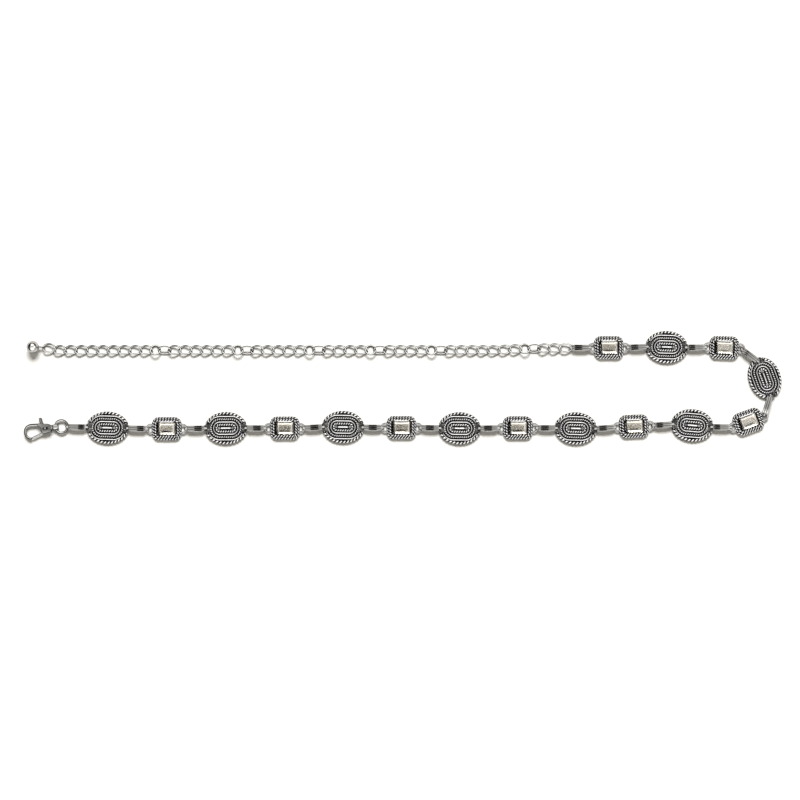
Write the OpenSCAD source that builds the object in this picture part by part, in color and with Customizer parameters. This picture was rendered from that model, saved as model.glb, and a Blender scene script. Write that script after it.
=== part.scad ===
// Chain belt of cast metal plaques with set crystals, laid flat in a long U.
// Millimetres, +Z up. Origin: middle of the laid-out belt, on the surface it lies on.
// Sixteen plaques (ovals and crystal settings in turn) are joined by hooked connectors.
// One end has a swivel hook on a jump ring, the other a length of chain with a ball.

/* [Oval plaque] */
// Length of an oval plaque
oval_l = 30.8; // [30.4:0.1:31.4]
// Height of an oval plaque
oval_w = 23.4; // [22.6:0.1:24.2]
// Width of the raised rope border
rope_w = 2.2; // [1.8:0.1:2.4]
// Top of the rope border above the surface
rope_top = 2.6; // [2.4:0.1:2.8]
// Half length of the bar that all the inner rings run round
ring_s = 4.3; // [4:0.1:4.5]

/* [Crystal setting] */
// Length of a setting without its lugs
set_l = 21.3; // [21:0.1:21.6]
// Height of a setting
set_w = 16.7; // [16.2:0.1:17.2]
// Length over both lugs
set_over_lugs = 30.0; // [29.8:0.1:30.4]
// Corner radius of a setting
set_r = 5.0; // [4:0.5:6]
// Length of the step-cut crystal
stone_l = 12.9; // [12:0.1:13]
// Height of the step-cut crystal
stone_w = 9.0; // [8.4:0.1:9.1]
// Top of the crystal's table above the surface
stone_top = 3.5; // [3.2:0.1:3.8]

/* [Lug] */
// Half width of the flat tab at each end of an oval, where it leaves the rings
tab_in = 3.5; // [3.2:0.1:3.6]
// Half width of the tab at its outer end
tab_out = 2.3; // [2:0.1:2.6]
// Half width of the tab's slot
tab_slot = 1.25; // [1.2:0.05:1.4]
// Outer radius of the D-shaped lug at each end of a setting
lug_r = 3.5; // [3.3:0.1:3.6]
// Width of the bar outside the slot
lug_bar = 1.2; // [1:0.1:1.3]
// Underside of the lug above the surface
lug_z = 1.3; // [1.2:0.1:1.4]
// Thickness of the lug
lug_t = 1.0; // [0.8:0.1:1.1]

/* [Connector] */
// Length of the three-strand band, end to end
band_l = 12.6; // [12.2:0.1:12.8]
// Width of the three-strand band
band_w = 4.2; // [3.8:0.1:4.4]
// Thickness of the band
band_t = 0.75; // [0.6:0.05:0.85]
// Top of the band in its middle
band_top = 4.0; // [3.8:0.1:4.3]
// Width of the hook under each end
prong_w = 1.4; // [1.2:0.1:1.5]

/* [Chain] */
// Length of one chain link
link_l = 10.1; // [10:0.05:10.2]
// Width of one chain link
link_w = 7.2; // [6.8:0.1:7.6]
// Diameter of the chain wire
wire_d = 1.2; // [1.1:0.05:1.2]
// Diameter over the round rings between the runs of chain
round_d = 8.2; // [8:0.1:8.4]
// Roll of each link to the left or right of flat
link_roll = 15; // [14:1:16]
// Diameter of the ball at the free end
ball_d = 8.6; // [8:0.1:9]

/* [Hook] */
// Turn of the hook in the plane of the belt
hook_turn = 8; // [6:1:10]
// Outer radius of the hook's bow
bow_r = 5.65; // [5.5:0.05:5.7]
// Width of the bow's wire
bow_w = 1.6; // [1.3:0.1:1.7]
// Thickness of the hook's body
body_t = 4.0; // [3.8:0.1:4.2]
// Radius of the gate's rivet
rivet_r = 0.7; // [0.6:0.05:0.75]
// Radius of the swivel post
post_r = 0.93; // [0.85:0.01:0.93]
// Diameter over the jump ring
jump_d = 10.6; // [10.4:0.1:10.8]
// Diameter of the jump ring's wire
jump_wire = 1.6; // [1.4:0.1:1.6]

/* [Hidden] */
$fn = 64;
// Moves the whole belt so that its middle is at the origin
shift_x = -0.25;
shift_y = 0.05;

// Where each pair of plaques lies, from the hook to the chain:
// [oval x, oval y, oval turn, setting x, setting y, setting turn]
PAIRS = [
    [-212.2, -28.8, -1.5, -169.6, -29.5,  0],
    [-127.1, -29.1,  0.5,  -84.7, -29.1,  0],
    [ -42.8, -28.3, -1,     -0.8, -28.7,  0],
    [  41.0, -29.2, -0.5,   82.9, -28.9,  0],
    [ 124.6, -29.3, -1.5,  166.4, -27.8,  2.5],
    [ 208.4, -27.1, -5,    248.7, -24.5, 20],
    [ 260.5,   6.9, 110,   231.3,  28.7, 178],
    [ 189.9,  29.2, 178.5, 148.3,  28.8, 180]];
// The line that the chain lies along: [x, y]
CHAIN_LINE = [[-259, 29.2], [-246.5, 27.0], [70, 27.0], [77, 27.6], [92, 28.1], [117, 28.5], [122, 28.8]];
// Links in each run of chain; a round ring and a turned link follow every run but the last
RUNS = [10, 6, 5, 4, 4, 7, 3];

function dir(a) = [cos(a), sin(a)];
function oval_pos(i) = [PAIRS[i][0], PAIRS[i][1]];
function set_pos(i) = [PAIRS[i][3], PAIRS[i][4]];
function oval_turn(i) = PAIRS[i][2];
function set_turn(i) = PAIRS[i][5];
oval_lug = oval_l / 2 - lug_r;       // lug centre from the oval's middle
set_lug = set_over_lugs / 2 - lug_r; // lug centre from the setting's middle
// Lug centre at the end of a plaque: side 1 is towards the chain, -1 towards the hook
function oval_end(i, side) = oval_pos(i) + side * oval_lug * dir(oval_turn(i));
function set_end(i, side) = set_pos(i) + side * set_lug * dir(set_turn(i));

// Chain spacing
overlap = 2.37;
pitch = link_l - overlap;
ring_step = (link_l + round_d) / 2 - overlap;
chain_x0 = -254.1;
// The turned link stands clear of the next run, which is a solid of its own
clear_step = link_l - 3.0;
turned_roll = 24;
function chain_y(x) = lookup(x, CHAIN_LINE);
function chain_turn(x) = atan2(chain_y(x + 4) - chain_y(x - 4), 8);
function run_x(r) = r == 0 ? chain_x0 : run_x(r - 1) + (RUNS[r - 1] - 1) * pitch + 2 * ring_step + clear_step;
// Which way the first link of run r rolls, 1 or -1
function run_sign(r) = r == 0 ? 1 : run_sign(r - 1) * (RUNS[r - 1] % 2 == 0 ? 1 : -1);
wire_r = wire_d / 2;
chain_z = 1.85;
chain_end = run_x(6) + 2 * pitch + link_l / 2;   // outer end of the last link

// Hook, jump ring
rivet_at = [-256.7, -29.2];
jump_at = [-245.2, -28.0];
jump_z = 1.85;
axis_z = body_t / 2;
eye_x = 7.3;   // middle of the swivel eye from the rivet

silver = [0.75, 0.75, 0.74];
antique = [0.52, 0.52, 0.52];

function ellipse(a, b, n = 72) = [for (i = [0 : n - 1]) let (t = 360 * i / n) [a * cos(t), b * sin(t)]];

module stadium(s, r) {
    translate([-s, -r]) square([2 * s, 2 * r]);
    translate([-s, 0]) circle(r);
    translate([s, 0]) circle(r);
}

module stadium_ring(s, r, w) {
    difference() {
        stadium(s, r + w / 2);
        stadium(s, r - w / 2);
    }
}

module rounded(l, w, r) {
    translate([-l / 2 + r, -w / 2]) square([l - 2 * r, w]);
    translate([-l / 2, -w / 2 + r]) square([l, w - 2 * r]);
    for (sx = [-1, 1], sy = [-1, 1]) translate([sx * (l / 2 - r), sy * (w / 2 - r)]) circle(r);
}

// D-shaped lug with its slot, lug centre at x = c
module lug(c, neck) {
    translate([0, 0, lug_z]) linear_extrude(lug_t) difference() {
        union() {
            translate([neck, -lug_r]) square([c - neck, 2 * lug_r]);
            intersection() {
                translate([c, 0]) circle(lug_r);
                translate([c, -lug_r]) square([lug_r, 2 * lug_r]);
            }
        }
        lug_slot(c);
    }
}

// Flat tab of an oval with its slot, slot centre near x = c
module tab(c) {
    e = c + lug_r;
    translate([0, 0, lug_z]) linear_extrude(lug_t) difference() {
        polygon([[c - 1.6, -tab_in], [c - 0.5, -tab_in], [e - 0.3, -tab_out], [e, -tab_out + 0.5],
                 [e, tab_out - 0.5], [e - 0.3, tab_out], [c - 0.5, tab_in], [c - 1.6, tab_in]]);
        translate([c - 0.75, -tab_slot]) square([lug_r - lug_bar + 0.75, 2 * tab_slot]);
    }
}

module lug_slot(c) {
    r = lug_r - lug_bar;
    translate([c - 0.9, -r]) square([0.9, 2 * r]);
    intersection() {
        translate([c, 0]) circle(r);
        translate([c - 0.01, -r]) square([r + 0.01, 2 * r]);
    }
}

// Oval plaque: hollow-backed cast plate, rope border, four rings, a centre bar and a tab at each end
module oval() {
    a = oval_l / 2;
    b = oval_w / 2;
    cut_w = 3.0;    // half width of the gap in the border at each lug
    difference() {
        union() {
            linear_extrude(rope_top) difference() {
                polygon(ellipse(a, b));
                polygon(ellipse(a - rope_w, b - rope_w));
            }
            translate([0, 0, 1.2]) linear_extrude(0.6) polygon(ellipse(a - 0.6, b - 0.6));
            translate([0, 0, 1.5]) {
                linear_extrude(0.95) stadium_ring(ring_s, 8.4, 0.9);
                linear_extrude(0.95) stadium_ring(ring_s, 6.4, 1.1);
                linear_extrude(1.10) stadium_ring(ring_s, 4.5, 0.9);
                linear_extrude(1.10) stadium_ring(ring_s, 2.5, 1.1);
                linear_extrude(1.30) stadium(3.2, 0.55);
            }
        }
        for (side = [0, 180]) rotate(side) {
            translate([oval_lug - 0.9, -cut_w, -1]) cube([10, 2 * cut_w, 6]);
        }
    }
    for (side = [0, 180]) rotate(side) tab(oval_lug);
}

// Crystal setting: two rope rows round a pocket, a lug at each end
module setting() {
    pocket_l = stone_l + 0.6;
    pocket_w = stone_w + 0.5;
    difference() {
        union() {
            linear_extrude(2.5) rounded(set_l, set_w, set_r);
            linear_extrude(3.1) rounded(set_l - 3.2, set_w - 3.2, set_r - 1.6);
        }
        translate([0, 0, 1.3]) linear_extrude(3) rounded(pocket_l, pocket_w, 0.5);
        translate([0, 0, -1]) linear_extrude(1.8) rounded(set_l - 4.4, set_w - 4.4, set_r - 2.2);
    }
    for (side = [0, 180]) rotate(side) lug(set_lug, set_l / 2 - 0.4);
}

// Side profile of the step-cut crystal: half widths at the foot, girdle, crown step and table
module gem_profile(half, crown, table) {
    z0 = 1.4;
    polygon([[-half + 0.9, z0], [half - 0.9, z0], [half, 2.2], [half, 2.45],
             [crown, 3.0], [table, stone_top], [-table, stone_top], [-crown, 3.0], [-half, 2.45], [-half, 2.2]]);
}

module gem() {
    intersection() {
        translate([0, stone_w, 0]) rotate([90, 0, 0]) linear_extrude(2 * stone_w)
            gem_profile(stone_l / 2, stone_l / 2 - 0.8, stone_l / 2 - 1.9);
        rotate([90, 0, 90]) translate([0, 0, -stone_l]) linear_extrude(2 * stone_l)
            gem_profile(stone_w / 2, stone_w / 2 - 0.8, stone_w / 2 - 1.9);
    }
}

// Height of the band's top at distance u from its middle
function arch(u) = band_top - 0.55 * pow(abs(u) / (band_l / 2), 2.4);

// Side profile of the band, dropped by d at the top for the grooves between strands
module band_profile(d) {
    n = 12;
    h = band_l / 2;
    polygon(concat(
        [for (i = [0 : n]) let (u = -h + 2 * h * i / n) [u, arch(u) - band_t]],
        [for (i = [0 : n]) let (u = h - 2 * h * i / n) [u, arch(u) - d]]));
}

// Connector along x: three strands on top, and a hook at each end that goes over a
// lug's bar, down through its slot and back underneath
module connector() {
    reach = 7.9;    // inner face of the hook's leg from the middle
    leg = 0.7;
    foot_z = 0.25;
    zt = arch(band_l / 2);
    strand = (band_w - 0.6) / 3;
    rotate([90, 0, 0]) {
        translate([0, 0, -band_w / 2]) linear_extrude(band_w) band_profile(0.2);
        for (k = [-1, 0, 1]) translate([0, 0, k * (strand + 0.3) - strand / 2]) linear_extrude(strand) band_profile(0);
        for (m = [0, 1]) mirror([m, 0, 0]) translate([0, 0, -prong_w / 2]) linear_extrude(prong_w) polygon([
            [band_l / 2 - 0.8, zt - 0.6], [reach, zt - 0.6], [reach, foot_z + 0.65], [5.6, foot_z + 0.65],
            [5.6, foot_z + 0.2], [5.8, foot_z], [reach + leg - 0.2, foot_z], [reach + leg, foot_z + 0.2],
            [reach + leg, zt - 0.2], [reach + leg - 0.2, zt], [band_l / 2 - 0.8, zt]]);
    }
}

// One chain link of round wire, length l and width w, centred, flat in XY
module wire_link(l, w, r) {
    c = w / 2 - r;
    s = l / 2 - w / 2;
    for (m = [0, 180]) rotate(m) {
        translate([s, 0, 0]) rotate([0, 0, -90]) rotate_extrude(angle = 180) translate([c, 0]) circle(r, $fn = 32);
        if (s > 0) translate([-s, c, 0]) rotate([0, 90, 0]) cylinder(h = 2 * s, r = r, $fn = 32);
    }
}

module chain_at(x, roll) {
    translate([x, chain_y(x), chain_z]) rotate(chain_turn(x)) rotate([roll, 0, 0]) children();
}

// A run of chain and the round ring and turned link that follow it, touching as one solid
module chain_run(r) {
    x0 = run_x(r);
    n = RUNS[r];
    for (i = [0 : n - 1]) {
        flat = r == len(RUNS) - 1 && i == n - 1 ? 0 : 1;   // the very last link lies flat in its connector
        chain_at(x0 + i * pitch, flat * run_sign(r) * (i % 2 == 0 ? link_roll : -link_roll)) wire_link(link_l, link_w, wire_r);
    }
    if (r < len(RUNS) - 1) {
        xr = x0 + (n - 1) * pitch + ring_step;
        s = run_sign(r + 1);
        chain_at(xr, s * link_roll) rotate_extrude() translate([round_d / 2 - wire_r, 0]) circle(wire_r, $fn = 32);
        chain_at(xr + ring_step, -s * turned_roll) wire_link(link_l, link_w, wire_r);
    }
}

// Polished ball with a stem and an eye that the first link passes through
module ball_end() {
    px = chain_x0 - link_l / 2 + wire_r + 0.05;
    eye = [px, chain_y(px), chain_z];
    r = ball_d / 2;
    dx = 6.85;
    fall = atan2(r - chain_z, dx);
    reach = norm([dx, r - chain_z]);
    translate([eye[0] - dx, eye[1], r]) rotate([0, fall, 0]) {
        sphere(r, $fn = 96);
        rotate([0, 90, 0]) cylinder(h = reach - 1.4, r = 0.75, $fn = 32);
        translate([reach, 0, 0]) rotate([90, 0, 0]) rotate_extrude() translate([1.3, 0]) circle(0.36, $fn = 32);
    }
}

module jump() {
    translate([jump_at[0], jump_at[1], jump_z]) rotate_extrude() translate([jump_d / 2 - jump_wire / 2, 0]) circle(jump_wire / 2, $fn = 48);
}

// Puts the hook's parts in place: x along the swivel axis towards the jump ring, rivet at the origin
module at_hook() {
    translate([rivet_at[0], rivet_at[1], 0]) rotate(hook_turn) children();
}

// Swivel eye: a broad eye round the jump ring, with a headed post in the hook's neck
module eye() {
    hole_l = 2.7;
    hole_h = jump_wire + 0.6;
    wall = 0.8;
    w = 3.6;
    translate([eye_x, w / 2, axis_z]) rotate([90, 0, 0]) linear_extrude(w) difference() {
        rounded(hole_l + 2 * wall, hole_h + 2 * wall, 1.2);
        rounded(hole_l, hole_h, 0.6);
    }
    translate([0, 0, axis_z]) rotate([0, 90, 0]) {
        translate([0, 0, 3.4]) cylinder(h = eye_x - hole_l / 2 - 0.2 - 3.4, r = post_r, $fn = 48);
        translate([0, 0, 2.75]) cylinder(h = 0.7, r = 1.3, $fn = 48);
    }
}

// Body outline seen from above
BODY = [[-5.2, 4.1], [-2.2, 3.7], [4.3, 2.5], [4.3, -2.6], [3.9, -3.0], [-2.0, -4.0], [-2.8, -3.2], [-2.8, 0.6], [-5.2, 2.5]];

module hook_solid() {
    slot_z = 1.1;
    bow_c = [-10.1, -1.15];
    bow_t = 2.2;
    difference() {
        union() {
            linear_extrude(body_t) polygon(BODY);
            translate([4.2, 0, axis_z]) rotate([0, 90, 0]) cylinder(h = 0.6, r = 1.7, $fn = 48);
        }
        // channel for the gate
        translate([-4.1, -8, slot_z]) cube([6.5, 16, body_t - 2 * slot_z]);
        translate([0, 0, -1]) cylinder(h = body_t + 2, r = rivet_r + 0.05, $fn = 48);
        // neck for the post and its head
        translate([0, 0, axis_z]) rotate([0, 90, 0]) {
            translate([0, 0, 2.3]) cylinder(h = 4, r = post_r + 0.07, $fn = 48);
            translate([0, 0, 2.3]) cylinder(h = 1.25, r = 1.4, $fn = 48);
        }
    }
    translate([0, 0, (body_t - bow_t) / 2]) {
        translate([bow_c[0], bow_c[1], 0]) rotate(85) rotate_extrude(angle = 176) translate([bow_r - bow_w, 0]) square([bow_w, bow_t]);
        linear_extrude(bow_t) {
            polygon([[-10.2, 4.5], [-10.2, 4.5 - bow_w], [-4.3, 2.35], [-4.3, 3.98]]);
            polygon([[-11.3, -5.2], [-11.1, -6.7], [-10.0, -6.65], [-10.75, -5.2]]);
        }
    }
}

// Gate: hub on the rivet, bar across the mouth of the hook, thumb lever on the other side
module gate_solid() {
    t = 1.4;
    reach = 11.75;
    translate([0, 0, axis_z - t / 2]) difference() {
        linear_extrude(t) {
            circle(2.0);
            polygon([[-0.5, 1.2], [-1.3, 4.7], [-3.3, 4.7], [-3.2, 3.9], [-1.9, 0.4]]);
            intersection() {
                polygon([[1.6, -1.1], [1.6, -2.75], [-10.9, -6.62], [-10.9, -5.2], [-2.6, -2.6], [-1.9, -0.5]]);
                circle(reach, $fn = 128);
            }
        }
        translate([0, 0, -1]) cylinder(h = t + 2, r = rivet_r + 0.05, $fn = 48);
    }
    translate([0, 0, axis_z - 1.2]) linear_extrude(2.4)
        polygon([[-1.25, 4.6], [-1.9, 7.6], [-2.3, 7.9], [-3.4, 7.9], [-3.7, 7.6], [-3.4, 4.6]]);
}

module rivet_solid() {
    translate([0, 0, 0.05]) cylinder(h = body_t - 0.1, r = rivet_r, $fn = 48);
}

module oval_at(i) { color(antique) translate([oval_pos(i)[0], oval_pos(i)[1], 0]) rotate(oval_turn(i)) oval(); }
module setting_at(i) { color(antique) translate([set_pos(i)[0], set_pos(i)[1], 0]) rotate(set_turn(i)) setting(); }
module stone_at(i) { color([0.9, 0.86, 0.78]) translate([set_pos(i)[0], set_pos(i)[1], 0]) rotate(set_turn(i)) gem(); }

// Connector between two points: its middle is halfway, or at a set distance from the first
module join(p, q) {
    m = (p + q) / 2;
    color(silver) translate([m[0], m[1], 0]) rotate(atan2(q[1] - p[1], q[0] - p[0])) connector();
}

module connector_at(k) {
    if (k == 1) {
        // first connector: jump ring to first oval
        q = oval_end(0, -1);
        join([jump_at[0] + jump_d / 2 - lug_r - 0.4, jump_at[1]], q);
    } else if (k == 17) {
        // last connector: last setting to the chain
        join(set_end(7, 1), [chain_end - lug_r + 0.15, chain_y(chain_end)]);
    } else if (k % 2 == 0) {
        join(oval_end(k / 2 - 1, 1), set_end(k / 2 - 1, -1));
    } else {
        join(set_end((k - 1) / 2 - 1, 1), oval_end((k - 1) / 2, -1));
    }
}

module whole() { translate([shift_x, shift_y, 0]) children(); }

for (i = [0 : 7]) {
    whole() oval_at(i);
    whole() setting_at(i);
    whole() stone_at(i);
}
for (k = [1 : 17]) {
    whole() connector_at(k);
}
whole() color(silver) chain_run(0);  // chain_a
whole() color(silver) chain_run(1);  // chain_b
whole() color(silver) chain_run(2);  // chain_c
whole() color(silver) chain_run(3);  // chain_d
whole() color(silver) chain_run(4);  // chain_e
whole() color(silver) chain_run(5);  // chain_f
whole() color(silver) chain_run(6);  // chain_g
whole() color(silver) ball_end();  // end_ball
whole() color(silver) jump();  // jump_ring
whole() color(silver) at_hook() eye();  // swivel_eye
whole() color(silver) at_hook() hook_solid();  // hook
whole() color([0.68, 0.68, 0.67]) at_hook() gate_solid();  // gate
whole() color([0.4, 0.4, 0.4]) at_hook() rivet_solid();  // rivet
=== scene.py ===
import math

import bmesh
import bpy
import numpy as np
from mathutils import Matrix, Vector
from mathutils.geometry import tessellate_polygon


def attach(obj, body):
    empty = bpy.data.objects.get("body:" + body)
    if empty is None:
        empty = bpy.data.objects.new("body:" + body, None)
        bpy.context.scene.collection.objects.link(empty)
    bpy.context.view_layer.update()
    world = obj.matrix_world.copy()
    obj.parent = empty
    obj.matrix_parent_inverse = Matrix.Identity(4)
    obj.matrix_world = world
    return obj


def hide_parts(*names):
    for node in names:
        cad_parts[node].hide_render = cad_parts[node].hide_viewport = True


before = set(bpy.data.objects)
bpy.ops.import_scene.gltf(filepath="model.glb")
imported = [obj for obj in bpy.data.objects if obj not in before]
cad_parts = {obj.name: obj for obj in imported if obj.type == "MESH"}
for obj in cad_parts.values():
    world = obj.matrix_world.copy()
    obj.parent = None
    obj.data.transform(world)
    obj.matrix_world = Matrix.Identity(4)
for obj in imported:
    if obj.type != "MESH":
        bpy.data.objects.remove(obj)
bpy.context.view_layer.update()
MM = 0.001
ROOT = "belt"

# ---------------------------------------------------------------- layout, in millimetres, as in the solids
SHIFT = np.array([-0.25, 0.05])
PAIRS = [  # oval x, y, turn, setting x, y, turn
    (-212.2, -28.8, -1.5, -169.6, -29.5, 0),
    (-127.1, -29.1, 0.5, -84.7, -29.1, 0),
    (-42.8, -28.3, -1, -0.8, -28.7, 0),
    (41.0, -29.2, -0.5, 82.9, -28.9, 0),
    (124.6, -29.3, -1.5, 166.4, -27.8, 2.5),
    (208.4, -27.1, -5, 248.7, -24.5, 20),
    (260.5, 6.9, 110, 231.3, 28.7, 178),
    (189.9, 29.2, 178.5, 148.3, 28.8, 180),
]
CHAIN_LINE = np.array([[-259, 29.2], [-246.5, 27.0], [70, 27.0], [77, 27.6], [92, 28.1], [117, 28.5], [122, 28.8]])
RUNS = [10, 6, 5, 4, 4, 7, 3]
LINK_L, LINK_W, WIRE, ROUND_D = 10.1, 7.2, 1.2, 8.2
OVERLAP = 2.37
PITCH = LINK_L - OVERLAP
RING_STEP = (LINK_L + ROUND_D) / 2 - OVERLAP
CLEAR_STEP = LINK_L - 3.0
CHAIN_X0, CHAIN_Z = -254.1, 1.85
LUG_R, LUG_BAR, LUG_Z, LUG_T = 3.5, 1.2, 1.3, 1.0
TAB_IN, TAB_OUT, TAB_SLOT = 3.5, 2.3, 1.25
OVAL_L, OVAL_W, ROPE_W, ROPE_TOP, RING_S = 30.8, 23.4, 2.2, 2.6, 4.3
SET_L, SET_W, SET_R = 21.3, 16.7, 5.0
STONE_L, STONE_W, STONE_TOP = 12.9, 9.0, 3.5
BAND_L, BAND_W, BAND_T, BAND_TOP = 12.6, 4.2, 0.75, 4.0
RIVET_AT, HOOK_TURN, BODY_T = (-256.7, -29.2), 8.0, 4.0
JUMP_AT, JUMP_Z, JUMP_D, JUMP_WIRE = (-245.2, -28.0), 1.85, 10.6, 1.6
EYE_X = 7.3
BALL_D = 8.6
oval_lug = OVAL_L / 2 - LUG_R
set_lug = 15.0 - LUG_R


def direction(a):
    return np.array([math.cos(math.radians(a)), math.sin(math.radians(a))])


def oval_end(i, side):
    return np.array(PAIRS[i][:2]) + side * oval_lug * direction(PAIRS[i][2])


def set_end(i, side):
    return np.array(PAIRS[i][3:5]) + side * set_lug * direction(PAIRS[i][5])


def chain_y(x):
    return float(np.interp(x, CHAIN_LINE[:, 0], CHAIN_LINE[:, 1]))


def chain_turn(x):
    return math.degrees(math.atan2(chain_y(x + 4) - chain_y(x - 4), 8))


def run_x(r):
    return CHAIN_X0 if r == 0 else run_x(r - 1) + (RUNS[r - 1] - 1) * PITCH + 2 * RING_STEP + CLEAR_STEP


def arch(u):
    return BAND_TOP - 0.55 * np.abs(u / (BAND_L / 2)) ** 2.4


# ---------------------------------------------------------------- mesh helpers
class Shells:
    """Closed shells gathered into one mesh: points in mm, faces, wear and painted shade (0 in the recesses and where
    shade is painted, 1 on the crests and where a highlight is painted).
    """

    def __init__(self):
        self.v, self.q, self.t, self.w, self.mq, self.mt, self.n = [], [], [], [], [], [], 0

    def add(self, v, quads=None, tris=None, wear_and_shade=1.0, mat=0):
        v = np.asarray(v, float).reshape(-1, 3)
        w = np.broadcast_to(np.asarray(wear_and_shade, float).reshape(-1), (len(v),)) if np.size(wear_and_shade) in (1, len(v)) else wear_and_shade
        self.v.append(v)
        self.w.append(np.array(w, float))
        if quads is not None and len(quads):
            q = np.asarray(quads, int) + self.n
            self.q.append(q)
            self.mq.append(np.full(len(q), mat))
        if tris is not None and len(tris):
            t = np.asarray(tris, int) + self.n
            self.t.append(t)
            self.mt.append(np.full(len(t), mat))
        self.n += len(v)

    def loft(self, rows, closed=False, wear_and_shade=1.0, mat=0):
        """rows: (N, M, 3), each row a closed loop of M points; ends are capped unless closed."""
        rows = np.asarray(rows, float)
        n, m = rows.shape[:2]
        idx = np.arange(n * m).reshape(n, m)
        a = idx if closed else idx[:-1]
        b = np.roll(idx, -1, 0) if closed else idx[1:]
        quads = np.stack([a, b, np.roll(b, -1, 1), np.roll(a, -1, 1)], -1).reshape(-1, 4)
        v = rows.reshape(-1, 3)
        w = np.broadcast_to(np.asarray(wear_and_shade, float), (n, m)).reshape(-1)
        tris = None
        if not closed:
            v = np.vstack([v, rows[0].mean(0), rows[-1].mean(0)])
            w = np.append(w, [w[:m].mean(), w[-m:].mean()])
            j = np.arange(m)
            tris = np.vstack([
                np.stack([np.full(m, n * m), j, (j + 1) % m], 1),
                np.stack([np.full(m, n * m + 1), (n - 1) * m + (j + 1) % m, (n - 1) * m + j], 1)])
        self.add(v, quads, tris, w, mat)

    def merge(self, other, turn=0.0, at=(0, 0, 0)):
        """Adds a copy of other, turned about Z and moved."""
        c, s = math.cos(math.radians(turn)), math.sin(math.radians(turn))
        m = np.array([[c, s, 0], [-s, c, 0], [0, 0, 1]])
        base = self.n
        for v, w in zip(other.v, other.w):
            self.v.append(v @ m + np.array(at, float))
            self.w.append(w)
        self.q += [q + base for q in other.q]
        self.t += [t + base for t in other.t]
        self.mq += other.mq
        self.mt += other.mt
        self.n += other.n

    def build(self, name, mats, body, nodes, slot, sharp=50):
        v = np.vstack(self.v) * MM
        q = np.vstack(self.q) if self.q else np.zeros((0, 4), int)
        t = np.vstack(self.t) if self.t else np.zeros((0, 3), int)
        mesh = bpy.data.meshes.new(name)
        mesh.vertices.add(len(v))
        mesh.vertices.foreach_set("co", v.ravel())
        mesh.loops.add(q.size + t.size)
        mesh.loops.foreach_set("vertex_index", np.concatenate([q.ravel(), t.ravel()]))
        mesh.polygons.add(len(q) + len(t))
        mesh.polygons.foreach_set("loop_start", np.concatenate([np.arange(len(q)) * 4, q.size + np.arange(len(t)) * 3]))
        for mt in mats:
            mesh.materials.append(mt)
        mi = np.concatenate(self.mq + self.mt) if (self.mq or self.mt) else []
        mesh.polygons.foreach_set("material_index", np.asarray(mi, int))
        mesh.update(calc_edges=True)
        mesh.validate()
        bm = bmesh.new()
        bm.from_mesh(mesh)
        bmesh.ops.recalc_face_normals(bm, faces=bm.faces)
        bm.to_mesh(mesh)
        bm.free()
        # this attribute holds real wear and patina together with painted shade and painted highlights on the polished
        # parts
        att = mesh.attributes.new("wear_and_shade", "FLOAT", "POINT")
        att.data.foreach_set("value", np.concatenate(self.w))
        mesh.polygons.foreach_set("use_smooth", np.ones(len(mesh.polygons), bool))
        mesh.set_sharp_from_angle(angle=math.radians(sharp))
        ob = bpy.data.objects.new(name, mesh)
        bpy.context.scene.collection.objects.link(ob)
        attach(ob, body)
        if nodes:
            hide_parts(*nodes)
        return ob


def resample(p, n, closed):
    p = np.asarray(p, float)
    if closed:
        p = np.vstack([p, p[:1]])
    d = np.r_[0, np.cumsum(np.linalg.norm(np.diff(p, axis=0), axis=1))]
    s = np.linspace(0, d[-1], n, endpoint=not closed)
    return np.stack([np.interp(s, d, p[:, k]) for k in range(p.shape[1])], 1), s, d[-1]


def right_normals(p, closed):
    nx, pv = np.roll(p, -1, 0), np.roll(p, 1, 0)
    if not closed:
        nx[-1], pv[0] = p[-1], p[0]
    t = nx - pv
    t /= np.linalg.norm(t, axis=1)[:, None]
    return np.stack([t[:, 1], -t[:, 0]], 1)


def ellipse_path(a, b, t0=0.0, t1=360.0, n=1200):
    t = np.radians(np.linspace(t0, t1, n, endpoint=(t1 - t0) < 359.9))
    return np.stack([a * np.cos(t), b * np.sin(t)], 1)


def stadium_path(s, r, n=400):
    t = np.radians(np.linspace(-90, 90, n))
    right = np.stack([s + r * np.cos(t), r * np.sin(t)], 1)
    return np.vstack([right, -right])


def rounded_path(l, w, r, n=100):
    out = []
    for cx, cy, a0 in ((l / 2 - r, -w / 2 + r, -90), (l / 2 - r, w / 2 - r, 0), (-l / 2 + r, w / 2 - r, 90), (-l / 2 + r, -w / 2 + r, 180)):
        t = np.radians(np.linspace(a0, a0 + 90, n))
        out.append(np.stack([cx + r * np.cos(t), cy + r * np.sin(t)], 1))
    return np.vstack(out)


def smooth(x, a, b):
    x = np.clip((x - a) / (b - a), 0, 1)
    return x * x * (3 - 2 * x)


def half_round(sh, path, closed, hw, z_top, rise, z_out, z_in, m=9, wear_lo=0.05, wear_hi=1.0):
    """Plain raised ring of half-round section along a plan path."""
    nrm = right_normals(path, closed)
    phi = np.radians(np.linspace(90, -90, m))
    off = np.r_[hw, hw * np.sin(phi), -hw]
    z = np.r_[z_out, z_top - rise + rise * np.cos(phi), z_in]
    rows = np.empty((len(path), m + 2, 3))
    rows[:, :, :2] = path[:, None, :] + nrm[:, None, :] * off[None, :, None]
    rows[:, :, 2] = z[None, :]
    w = np.r_[0, wear_lo + (wear_hi - wear_lo) * smooth(np.cos(phi), 0.5, 0.93), 0]
    sh.loft(rows, closed, np.broadcast_to(w, (len(path), m + 2)))


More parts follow.
